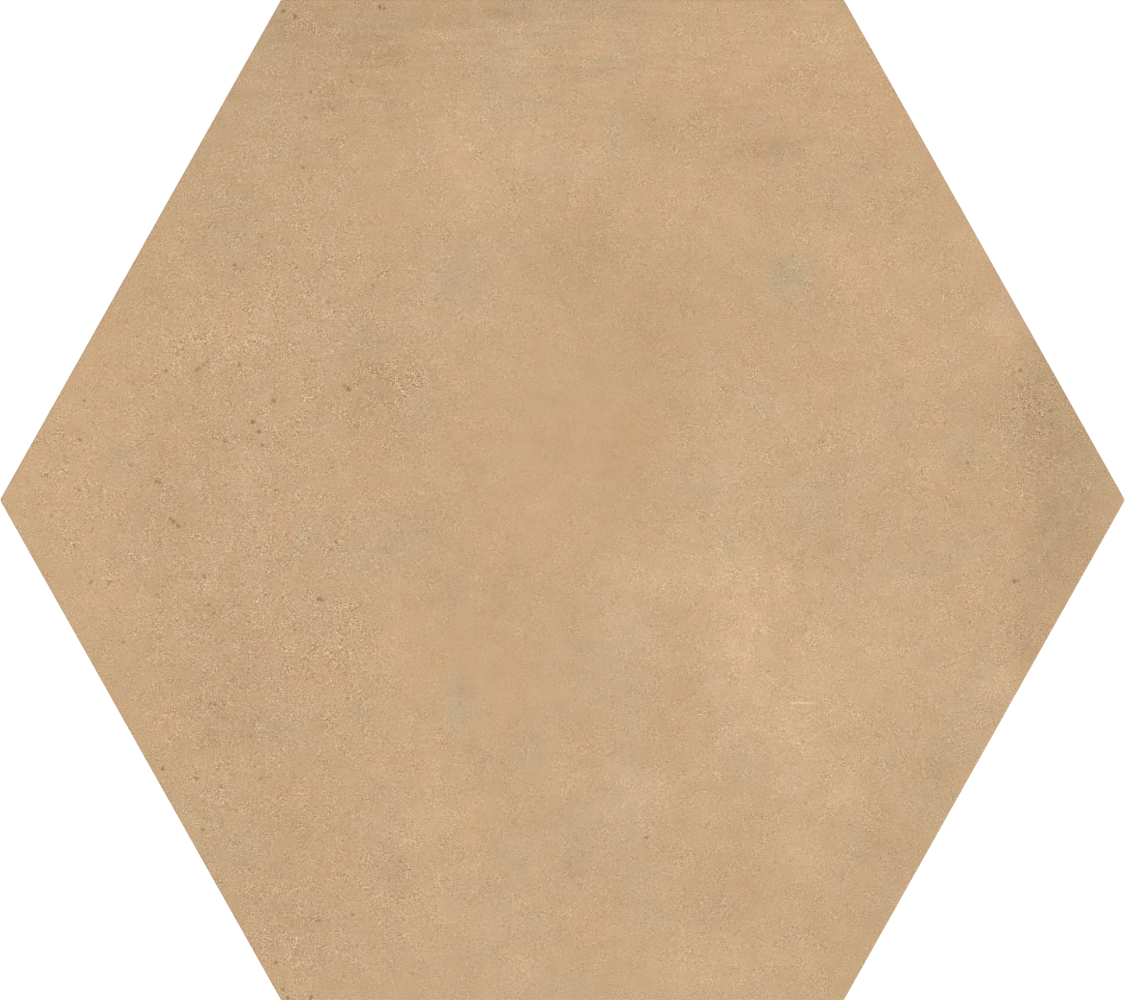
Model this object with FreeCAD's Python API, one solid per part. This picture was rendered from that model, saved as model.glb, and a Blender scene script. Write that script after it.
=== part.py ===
"""A hexagonal floor tile, dry-pressed and fired as one piece.

The face is flat, with a small rounded arris. Below the arris the wall is upright for the land that
faces the grout joint, then leans in towards a smaller back with a chamfered edge. The back has a flat
rim, and inside the rim straight ribs cross in a square grid. The shallow, drafted pockets between them
key the tile to its adhesive bed. The punch that presses the back has one pad for each pocket, and its
pads are trimmed to the rim.

Frame: millimetres, +Z up, face up. The origin is the middle of the back, where two ribs cross.
X runs from corner to corner, and Y from flat to flat.
"""

import FreeCAD
import Part

import math
import os

from FreeCAD import Vector

# The hexagon, measured to where its straight sides would meet
ACROSS_POINTS = 290.0
ACROSS_FLATS = 258.0
THICKNESS = 9.0

# The edge, from the face down to the back
ARRIS_RADIUS = 0.4
CORNER_RADIUS = 0.6
LAND_BOTTOM = 3.2
BACK_INSET = 1.3
BACK_CORNER_RADIUS = 0.4
BACK_CHAMFER = 0.5

# The relief of the back
RIM_WIDTH = 8.0
RIB_WIDTH = 3.0
POCKET_ROWS = 14
POCKET_DEPTH = 0.8
POCKET_DRAFT_DEG = 40.0
SMALLEST_POCKET_SHARE = 0.12

# How far the punch's pads reach past the back, so that they cut through it cleanly
PAD_OVERSHOOT = 0.5


def hexagon_corners(inset):
    """The tile's six sharp corners, with its sides drawn in by inset."""
    slope = math.atan2(ACROSS_FLATS / 2, ACROSS_POINTS / 4)
    tip_x = ACROSS_POINTS / 2 - inset / math.sin(slope)
    flat_y = ACROSS_FLATS / 2 - inset
    flat_x = tip_x - flat_y / math.tan(slope)
    return [
        Vector(tip_x, 0, 0),
        Vector(flat_x, flat_y, 0),
        Vector(-flat_x, flat_y, 0),
        Vector(-tip_x, 0, 0),
        Vector(-flat_x, -flat_y, 0),
        Vector(flat_x, -flat_y, 0),
    ]


def square_corners(side):
    """The four corners of a square about the origin."""
    half = side / 2
    return [Vector(half, half, 0), Vector(-half, half, 0), Vector(-half, -half, 0), Vector(half, -half, 0)]


def closed_wire(corners):
    """The closed outline through the corners."""
    return Part.makePolygon(corners + corners[:1])


def round_hexagon(inset, radius, height):
    """The tile's outline at a height, drawn in by inset and with its corners rounded to radius."""
    outline = closed_wire(hexagon_corners(inset + radius)).makeOffset2D(radius)
    return outline.translated(Vector(0, 0, height))


def slab():
    """The tile before its back relief: chamfered back edge, leaning wall, upright land and round arris."""
    land_outline = round_hexagon(0, CORNER_RADIUS, LAND_BOTTOM)
    foot_outlines = [
        round_hexagon(BACK_INSET + BACK_CHAMFER, BACK_CORNER_RADIUS, 0),
        round_hexagon(BACK_INSET, BACK_CORNER_RADIUS, BACK_CHAMFER),
        land_outline,
    ]
    foot = Part.makeLoft(foot_outlines, True, True)
    land = Part.Face(land_outline).extrude(Vector(0, 0, THICKNESS - LAND_BOTTOM))
    face_edges = [edge for edge in land.Edges if edge.BoundBox.ZMin > THICKNESS - ARRIS_RADIUS]
    return land.makeFillet(ARRIS_RADIUS, face_edges).fuse(foot)


def drafted(corners_at):
    """A flat-sided solid of the punch that narrows upwards, from its outline drawn in by a distance."""
    draft = math.tan(math.radians(POCKET_DRAFT_DEG))
    mouth = [corner + Vector(0, 0, -PAD_OVERSHOOT) for corner in corners_at(-PAD_OVERSHOOT * draft)]
    floor = [corner + Vector(0, 0, POCKET_DEPTH) for corner in corners_at(POCKET_DEPTH * draft)]
    faces = [Part.Face(closed_wire(mouth)), Part.Face(closed_wire(floor))]
    for side in range(len(mouth)):
        faces.append(Part.Face(closed_wire([mouth[side - 1], mouth[side], floor[side], floor[side - 1]])))
    return Part.Solid(Part.Shell(faces))


def punch_pads():
    """The pads that press the pockets: a square grid, trimmed to the field inside the rim."""
    field_inset = BACK_INSET + BACK_CHAMFER + RIM_WIDTH
    pitch = (ACROSS_FLATS - 2 * field_inset + RIB_WIDTH) / POCKET_ROWS
    pad = drafted(lambda inset: square_corners(pitch - RIB_WIDTH - 2 * inset))
    half_columns = math.ceil(ACROSS_POINTS / pitch / 2)
    pads = [
        pad.translated(Vector((column + 0.5) * pitch, (row + 0.5 - POCKET_ROWS / 2) * pitch, 0))
        for column in range(-half_columns, half_columns)
        for row in range(POCKET_ROWS)
    ]
    field = drafted(lambda inset: hexagon_corners(field_inset + inset))
    trimmed = field.common(Part.makeCompound(pads))
    smallest = SMALLEST_POCKET_SHARE * abs(pad.Volume)
    return [trimmed_pad for trimmed_pad in trimmed.Solids if trimmed_pad.Volume > smallest]


pads = punch_pads()
tile = slab().cut(Part.makeCompound(pads)).removeSplitter().Solids[0]
os.makedirs("parts", exist_ok=True)
tile.exportStep("parts/hexagon_tile.step")

size = tile.BoundBox
print(f"hexagon_tile: {size.XLength:.2f} x {size.YLength:.2f} x {size.ZLength:.2f} mm")
print(f"{tile.Volume:.0f} mm3, {len(pads)} pockets, {len(tile.Faces)} faces, valid: {tile.isValid()}")
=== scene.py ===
# %% [markdown]
# # A hexagonal floor tile, from straight above
#
# The real tile is one slab of porcelain. A press squeezes damp powder between two punches, a printer lays a
# cement look on the face, and a kiln fires the whole thing to stone. So this lesson makes one closed mesh,
# as a hand would: one hexagon is pushed up, drawn in, cut and rounded, and then it is painted with nodes.
#
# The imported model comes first. It gives the place and the size that everything here has to fit.

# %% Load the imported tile
import math

import bmesh
import bpy
import numpy as np

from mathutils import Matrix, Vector, noise


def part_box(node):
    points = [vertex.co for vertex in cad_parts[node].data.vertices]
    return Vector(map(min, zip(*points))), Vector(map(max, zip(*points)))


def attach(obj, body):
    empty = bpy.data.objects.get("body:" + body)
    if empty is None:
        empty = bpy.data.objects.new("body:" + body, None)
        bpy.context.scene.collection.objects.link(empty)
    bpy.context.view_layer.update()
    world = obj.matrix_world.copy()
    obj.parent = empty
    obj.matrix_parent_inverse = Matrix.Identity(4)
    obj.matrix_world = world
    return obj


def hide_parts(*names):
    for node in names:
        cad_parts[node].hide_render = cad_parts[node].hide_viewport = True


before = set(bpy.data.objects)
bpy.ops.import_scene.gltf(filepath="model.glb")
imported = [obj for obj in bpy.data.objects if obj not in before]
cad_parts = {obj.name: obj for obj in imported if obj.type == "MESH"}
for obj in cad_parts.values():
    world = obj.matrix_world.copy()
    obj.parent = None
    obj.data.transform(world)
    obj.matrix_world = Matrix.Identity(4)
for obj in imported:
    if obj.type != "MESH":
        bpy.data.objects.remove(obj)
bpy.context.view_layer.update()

MM = 0.001

NODE = "hexagon_tile"
low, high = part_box(NODE)
print("the packed tile measures", [round((b - a) / MM, 2) for a, b in zip(low, high)], "mm")

# %% [markdown]
# ## The sizes
#
# A press shop gives a hexagon by its size across the flats and across the points. The flats and the
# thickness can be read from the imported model. Its corners are rounded, so the sharp size across the points
# is written down. The rest are the sizes of the die: its edges, and the pads of the punch that presses the
# back.

# %% Name the sizes
across_flats = high.y - low.y
thickness = high.z - low.z
ACROSS_POINTS = 290.0 * MM

ARRIS_RADIUS = 0.4 * MM
CORNER_RADIUS = 0.6 * MM
LAND_BOTTOM = 3.2 * MM
BACK_INSET = 1.3 * MM
BACK_CHAMFER = 0.5 * MM

RIM_WIDTH = 8.0 * MM
RIB_WIDTH = 3.0 * MM
POCKET_ROWS = 14
POCKET_DEPTH = 0.8 * MM
POCKET_DRAFT = math.radians(40.0)

half_points = ACROSS_POINTS / 2
half_flats = across_flats / 2
slant = math.atan2(half_flats, half_points / 2)
back_edge_inset = BACK_INSET + BACK_CHAMFER
field_inset = back_edge_inset + RIM_WIDTH
pitch = (across_flats - 2 * field_inset + RIB_WIDTH) / POCKET_ROWS
print(f"sides slant at {math.degrees(slant):.2f} degrees, and the ribs are {pitch / MM:.2f} mm apart")

# %% [markdown]
# ## Picking by place
#
# By hand you would click on a face. A script picks it by where it is and which way it looks, which also
# works when the sizes change. The helper clears the selection first, because an operator acts on all that is
# selected. A face that looks straight up has a normal with a Z of 1. Beyond FLAT a face counts as flat, and
# below STEEP it counts as a wall.

# %% Helpers that pick faces and edges
HAIR = 0.01 * MM
FLAT = 0.99
STEEP = 0.5


def from_side(place):
    """How far a place, seen from above, lies inside the nearest side of the tile."""
    to_slanted_side = abs(place.x) * math.sin(slant) + abs(place.y) * math.cos(slant)
    return min(half_flats - abs(place.y), half_points * math.sin(slant) - to_slanted_side)


def all_inside(part, inset):
    """True if a face or an edge lies in the tile's outline drawn in by inset, seen from above."""
    return all(from_side(v.co) > inset for v in part.verts)


def all_above(part, height):
    return all(v.co.z > height for v in part.verts)


def pick(kind, rule):
    """Selects what a rule holds for in edit mode, and returns how many. The kind is FACE or EDGE."""
    bpy.ops.mesh.select_all(action="DESELECT")
    bpy.ops.mesh.select_mode(type=kind)
    mesh = bmesh.from_edit_mesh(bpy.context.edit_object.data)
    picked = [part for part in (mesh.faces if kind == "FACE" else mesh.edges) if rule(part)]
    for part in picked:
        part.select_set(True)
    bmesh.update_edit_mesh(bpy.context.edit_object.data)
    return len(picked)


# %% [markdown]
# ## The slab
#
# A circle of six points is a hexagon already. Stretched to the two sizes and pushed up, it is the upright
# part of the edge, which faces the grout joint. The foot below it is two insets of the bottom face: an inset
# with a depth both draws a face in and pushes it out, so each makes one leaning wall. Four extrusions with
# scaling would also do, but an inset keeps every side exactly as far in as every other.

# %% Make the slab
REGULAR_HALF_FLATS = math.sqrt(3) / 2
HALF_CORNER_TURN = math.radians(30)

bpy.ops.object.select_all(action="DESELECT")
bpy.ops.mesh.primitive_circle_add(vertices=6, radius=1, fill_type="NGON", location=(0, 0, LAND_BOTTOM))
tile = bpy.context.object
tile.name = "fired_tile"
tile.data.name = "fired_tile"
tile.rotation_euler.z = HALF_CORNER_TURN
bpy.ops.object.transform_apply(location=True, rotation=True, scale=True)
tile.scale = (half_points, half_flats / REGULAR_HALF_FLATS, 1)
bpy.ops.object.transform_apply(location=False, rotation=False, scale=True)

bpy.ops.object.mode_set(mode="EDIT")
bpy.ops.mesh.select_all(action="SELECT")
land_height = thickness - LAND_BOTTOM
bpy.ops.mesh.extrude_region_move(TRANSFORM_OT_translate={"value": (0, 0, land_height)})
bpy.ops.mesh.select_all(action="SELECT")
bpy.ops.mesh.normals_make_consistent(inside=False)


def looks_down(face):
    return face.normal.z < -FLAT


pick("FACE", looks_down)
bpy.ops.mesh.inset(thickness=BACK_INSET, depth=LAND_BOTTOM - BACK_CHAMFER)
bpy.ops.mesh.inset(thickness=BACK_CHAMFER, depth=BACK_CHAMFER)
print("the slab has", len(bmesh.from_edit_mesh(tile.data).faces), "faces")

# %% [markdown]
# ## The ribbed back
#
# The back has to key into the adhesive bed, so the punch presses a waffle of shallow pockets into it and
# leaves ribs between them. The punch was cut by straight passes of a mill, and the mesh is made like that
# too: the field inside the rim is cut in two along both sides of every rib, all the way across, and then
# each square that is left is inset and pushed in at once. Its walls lean, so that it leaves the punch.
#
# Cells that the slanted sides cut down to slivers stay flat, because a pad that small would break off. Where
# a cut leaves a side shorter than the draft is wide, its two ends are merged, or the inset would fold over.

# %% Cut the rib lines
SHORTEST_SIDE = 1.0 * MM


def in_field(face):
    return looks_down(face) and all_inside(face, field_inset - HAIR)


pick("FACE", looks_down)
bpy.ops.mesh.inset(thickness=RIM_WIDTH, depth=0)

half_columns = math.ceil(half_points / pitch)
half_rows = POCKET_ROWS // 2
rib_lines = [(pitch * i, (1, 0, 0)) for i in range(-half_columns, half_columns + 1)]
rib_lines += [(pitch * i, (0, 1, 0)) for i in range(1 - half_rows, half_rows)]
for middle, across in rib_lines:
    for side in (-RIB_WIDTH / 2, RIB_WIDTH / 2):
        pick("FACE", in_field)
        bpy.ops.mesh.bisect(plane_co=Vector(across) * (middle + side), plane_no=across)

print(len(rib_lines), "ribs leave", pick("FACE", in_field), "faces in the field")
bpy.ops.mesh.remove_doubles(threshold=SHORTEST_SIDE)

# %% Press the pockets
SMALLEST_POCKET_SHARE = 0.12
full_pocket = (pitch - RIB_WIDTH) ** 2


def is_pocket(face):
    """True for a face of the field that lies between the ribs and isn't a sliver."""
    if not in_field(face) or face.calc_area() < SMALLEST_POCKET_SHARE * full_pocket:
        return False
    place = face.calc_center_median()
    from_rib = [abs(c / pitch - round(c / pitch)) * pitch for c in (place.x, place.y)]
    return min(from_rib) > RIB_WIDTH / 2 + HAIR


pockets = pick("FACE", is_pocket)
wall_run = POCKET_DEPTH * math.tan(POCKET_DRAFT)
bpy.ops.mesh.inset(use_individual=True, thickness=wall_run, depth=-POCKET_DEPTH)
print(pockets, "pockets are pressed into the back")

# %% Soften the pockets' edges
POCKET_ROUND = 0.15 * MM
POCKET_STEPS = 3
LEAST_POCKET_BEND = math.radians(20)


def is_pocket_edge(edge):
    """True where a pocket's leaning wall meets the rib or the pocket's floor."""
    in_relief = all_inside(edge, field_inset - HAIR) and not all_above(edge, POCKET_DEPTH + HAIR)
    return edge.is_manifold and in_relief and edge.calc_face_angle() > LEAST_POCKET_BEND


pick("EDGE", is_pocket_edge)
bpy.ops.mesh.bevel(offset=POCKET_ROUND, segments=POCKET_STEPS, clamp_overlap=True)

# %% [markdown]
# ## Corners and arris
#
# No pressed edge is sharp. The six upright corners are rounded a little, and then the arris, the edge that
# runs round the face. The order matters: an arris that is rounded last runs round the corners in one sweep.
# Both come before the face is divided, because a bevel slides along whatever edges it meets.

# %% Round the corners and the arris
CORNER_STEPS = 4
ARRIS_STEPS = 5


def is_corner(edge):
    """True for the six chains that run up the tile's corners, from the back to the face."""
    rises = abs(edge.verts[0].co.z - edge.verts[1].co.z) > HAIR
    return rises and all(from_side(v.co) <= back_edge_inset + HAIR for v in edge.verts)


def is_arris(edge):
    """True where the face, which looks up, meets the upright wall."""
    return all_above(edge, thickness - HAIR) and min(face.normal.z for face in edge.link_faces) < STEEP


setback = CORNER_RADIUS * math.tan(HALF_CORNER_TURN)
print(pick("EDGE", is_corner), "edges run up the corners")
bpy.ops.mesh.bevel(offset=setback, segments=CORNER_STEPS, clamp_overlap=False)
print(pick("EDGE", is_arris), "edges run round the face")
bpy.ops.mesh.bevel(offset=ARRIS_RADIUS, segments=ARRIS_STEPS, clamp_overlap=False)

# %% [markdown]
# ## The face
#
# The face will carry a print and a gentle relief, so it needs a fine, even mesh. First an inset makes a
# narrow border beside the arris. The inset folds the small arcs at the six corners over, so each arc is
# collapsed to a point, which leaves a plain hexagon, and a poke turns that into six triangles.
#
# One subdivision then does all the rest. It cuts the triangles' edges and the long edges of the border, the
# arris and the upright wall alike, so the grid of the face runs on round the edge without a break.

# %% Divide the face finely
FACE_BORDER = 3.0 * MM
FACE_CUTS = 127


def is_face(face):
    return face.normal.z > FLAT and all_above(face, thickness - HAIR)


def is_inner_face(face):
    return is_face(face) and all_inside(face, CORNER_RADIUS)


def is_folded_arc(edge):
    """True for the short edges at the corners of the face inside its border."""
    at_face = all_above(edge, thickness - HAIR) and all_inside(edge, CORNER_RADIUS)
    return at_face and edge.calc_length() < FACE_BORDER


def is_long(edge):
    """True for the edges above the foot that run along a side, or from the face's middle to a corner."""
    return all_above(edge, LAND_BOTTOM - HAIR) and edge.calc_length() > half_points / 2


pick("FACE", is_face)
bpy.ops.mesh.inset(thickness=FACE_BORDER - ARRIS_RADIUS, depth=0)
pick("EDGE", is_folded_arc)
bpy.ops.mesh.merge(type="COLLAPSE")
pick("FACE", is_inner_face)
bpy.ops.mesh.poke()
print(pick("EDGE", is_long), "long edges are divided")
bpy.ops.mesh.subdivide(number_cuts=FACE_CUTS, smoothness=0)
bpy.ops.object.mode_set(mode="OBJECT")

# %% [markdown]
# ## A gentle relief
#
# A pressed face is never a mirror: the die is lightly structured, so that the tile isn't slippery, and the
# glaze is sprayed over it. Two Displace modifiers do this, one broad and one fine. Both push down only,
# which a middle level of 1 gives, and both fade out in a vertex group before they reach the arris, so that
# the edge stays as straight as the die made it.

# %% Press the relief
RELIEF_FADE = 6.0 * MM


def relief_weight(place):
    """1 over most of the face, fading to 0 at the border. Walls and back have none."""
    if place.z < thickness - HAIR:
        return 0.0
    share = min(max((from_side(place) - FACE_BORDER) / RELIEF_FADE, 0.0), 1.0)
    return share * share * (3 - 2 * share)


pressed = tile.vertex_groups.new(name="pressed")
for v in tile.data.vertices:
    weight = relief_weight(v.co)
    if weight > 0:
        pressed.add([v.index], weight, "REPLACE")


def press_relief(name, size, depth):
    """Pushes the face down by up to depth, in soft hollows of about a given size."""
    hollows = bpy.data.textures.new(name, "CLOUDS")
    hollows.noise_scale = size
    hollows.noise_depth = 1
    press = tile.modifiers.new(name, "DISPLACE")
    press.texture = hollows
    press.texture_coords = "LOCAL"
    press.direction = "Z"
    press.mid_level = 1.0
    press.strength = depth
    press.vertex_group = "pressed"
    bpy.ops.object.modifier_apply(modifier=name)


press_relief("broad_relief", size=17 * MM, depth=0.07 * MM)
press_relief("fine_relief", size=4 * MM, depth=0.025 * MM)
deepest = min(v.co.z for v in tile.data.vertices if v.groups)
print(f"the relief is up to {(thickness - deepest) / MM:.3f} mm deep")

# %% [markdown]
# ## Smooth where it is round
#
# Smooth shading blends the direction of neighbouring faces. Beside a bevel that would also bend the look of
# the large flat faces, so the Weighted Normal modifier lets the larger face win at each corner.

# %% Shade the tile
SHARPEST_SMOOTH = math.radians(20)

bpy.ops.object.shade_smooth_by_angle(angle=SHARPEST_SMOOTH)
flatten = tile.modifiers.new("flat_faces_win", "WEIGHTED_NORMAL")
flatten.keep_sharp = True
bpy.ops.object.modifier_apply(modifier=flatten.name)
print("the tile has", len(tile.data.polygons), "faces")

# %% [markdown]
# ## The print, part one: clouds laid one by one
#
# The cement look is printed: lighter and darker clouds, warmer and cooler blushes, and a few blue-grey
# stains. They are what makes this tile this tile, so they have places of their own. In Blender you would
# airbrush them in Vertex Paint mode. The script does the same: each dab is soft, longer one way than the
# other, and turned, and all dabs are added up at every vertex and stored as an attribute of the mesh.
#
# Strengths are in steps of a screen's 255. Warmth is how far red stands above blue, and pinkness how far red
# stands above green beside that. The lists were typed in. The places and strengths were read from the
# photograph, and from where the render still differed from it.

# %% The dabs
# The dabs of one strength stand together. Each has its centre's x and y, its half length and half width in
# mm, and its turn in degrees if it is turned. A round dab has one size for both, or none if that is 7 mm.
CLOUDS = {
    10: [(50, -36, 10, 14)],
    8: [(72, -76, 5)],
    7: [(28, -18, 19, 7), (60, -62, 12, 19, 20), (20, -76, 12, 5, 30), (112, 45), (113, -48, 6)],
    6: [(61, -90, 8, 10), (-9, 94, 5, 10), (26, -79, 5, 4)],
    5: [(46, -21, 8, 15), (-24, 86, 14, 19), (80, 58, 12), (105, 65), (-25, -107, 10, 6), (18, -33, 10, 12),
        (15, -70, 5, 4), (88, -21, 9, 4), (56, -21, 3, 8), (41, -39, 8, 15), (-78, 113, 4, 6)],
    4.5: [(46, 117, 20, 12)],
    4: [(46, 15, 9, 15), (74, -36, 41, 34), (-32, -84, 5), (-44, -36, 5, 12), (-6, -122, 15, 6),
        (41, -118, 21, 11), (-132, 8, 20, 28), (-122, -26, 7, 6), (79, 101, 8, 6), (70, 119, 10, 14),
        (8, -50, 4, 5), (66, -42, 10, 14), (79, 15, 6, 5), (47, -57, 6, 11, -30), (-57, 121, 9, 6),
        (33, -33, 3.5, 6)],
    3.5: [(35, -10, 10, 7), (57, -72, 8, 5), (61, 96, 8, 3)],
    3: [(-32, -77, 15, 28), (36, -70, 4, 5), (97, 10, 8, 6), (-36, 46, 9, 6), (-11, 115, 10), (-81, 44, 9),
        (-90, -19, 3, 4), (46, 0, 9, 4), (-57, 21, 3), (20, -21, 11, 4), (2, -70, 6), (93, 39, 22, 15),
        (74, -70, 4, 8, -30), (29, -123, 13, 5), (-28, 112, 7, 3.5), (30, 67, 4, 6)],
    2.8: [(-14, 88, 6, 5)],
    2.6: [(47, -8, 4)],
    2.5: [(7, 85, 15, 13), (33, 75, 23, 13), (90, -42, 10, 12), (-106, 44, 14, 12), (69, 67, 10, 8),
        (61, 21, 8, 11), (41, 10, 12, 5), (66, -93, 9, 8), (108, -15), (-111, -26, 9, 3), (-81, 5, 6, 8),
        (-20, 41, 5)],
    2.4: [(112, 51, 3, 5), (-106, -63, 4, 8), (37, -78, 6, 5)],
    2.2: [(45, 7, 5), (71, -44, 6, 5), (111, -21, 4), (-51, -48, 8, 4, -30), (-91, -23, 4, 6),
        (-4, -94, 5, 4)],
    2: [(-29, 93, 8, 14), (53, 93, 5, 3.5), (-60, 45, 7, 4), (-74, 19, 7, 4), (-10, 9, 5, 8),
        (82, 15, 4, 7)],
    1.8: [(93, 63, 6), (-31, -61, 5, 4), (35, -111, 4, 10)],
    1.6: [(-82, -90, 4, 6)],
    1.5: [(74, 26, 31, 15), (-8, -5, 16), (5, 95, 8)],
    -1.7: [(-100, 11, 8, 4), (-75, -62, 6, 5)],
    -1.8: [(-6, 46, 5, 4), (-29, 21, 6, 5), (25, 15, 6, 8), (51, -33, 4, 5), (-106, 44, 5),
        (-85, 67, 10, 3, 25)],
    -2: [(10, -120, 10, 6), (28, 62, 11, 13), (-92, -40, 4, 5), (-40, -57, 4, 5), (8, -117, 5)],
    -2.2: [(30, 90, 5), (17, 64, 6, 7), (87, 31, 6), (-55, -31, 4, 9, -10), (-13, -85, 6, 4)],
    -2.5: [(-68, -83, 8), (35, 121, 8, 6), (-13, -18, 7, 5), (74, -113, 8, 6), (-38, 88, 5, 4)],
    -2.6: [(61, -44, 4)],
    -2.8: [(-20, 126, 9, 3), (123, -28, 4, 7), (98, -60, 7, 5)],
    -3: [(-91, -28, 8), (-66, 88, 8, 5), (-29, -23, 8), (15, 13, 10, 15), (-75, -95, 23), (92, -15, 10, 5),
        (43, -31, 4, 7), (110, 22, 6, 10), (-1, 116, 6, 8), (38, 97, 9, 6), (-24, 113, 8, 10),
        (-57, 95, 5, 9), (-78, -62, 11, 6), (109, 41, 5, 4), (65, -70, 3, 4), (39, -111, 6, 5),
        (-12, -62, 4, 9), (-65, -110, 10, 6), (-46, 53, 4, 6), (26, -33, 5), (-53, -125, 5, 4)],
    -3.5: [(-86, 72, 13, 15), (46, -100, 12, 8), (28, 26, 2.5, 5), (3, -95, 5), (36, -15, 5, 4)],
    -4: [(10, 126, 13, 3), (-81, 112, 15), (10, 66, 7, 9), (23, 44, 15), (5, 52, 8), (130, -7, 9, 8),
        (-104, 10, 8), (-78, -40, 8), (-34, -5, 10, 8), (-16, -26, 5, 10), (-19, -67, 8, 6), (103, 10, 5),
        (84, -90, 8, 15), (30, -49, 5), (-45, 103, 8, 5), (-88, 95, 8, 6), (-106, 52, 10, 7), (-93, 33, 3),
        (-130, 13, 5, 6), (95, -39, 5), (70, -63, 4, 5), (-26, -106, 5)],
    -4.5: [(-50, 22, 12, 9), (-90, 15, 5), (122, 19, 9), (123, -16, 9, 8)],
    -5: [(-45, 112, 16, 7), (-1, 65, 8, 12, 30), (-50, 34, 10), (124, 34, 7, 10, -25), (-101, -5, 10),
        (-88, -52, 13, 12), (-26, -49, 4), (69, -10, 4, 10), (-44, -95, 5), (-13, 124, 6, 5), (12, 110, 3),
        (23, 97, 6, 5)],
    -6: [(-62, 121, 12, 9), (-60, 104, 12, 7), (120, -36, 7, 12, 25), (-104, -22, 4, 3), (97, -70, 6)],
    -7: [(-73, 122, 6, 8), (-30, 126, 10, 4), (52, 92, 13, 4, 15), (56, 90, 6, 3), (55, -36, 4, 10)],
    -8: [(-14, 127, 12, 4)],
    -10: [(-50, 122, 16, 9), (130, 5, 13, 36)],
}
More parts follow.
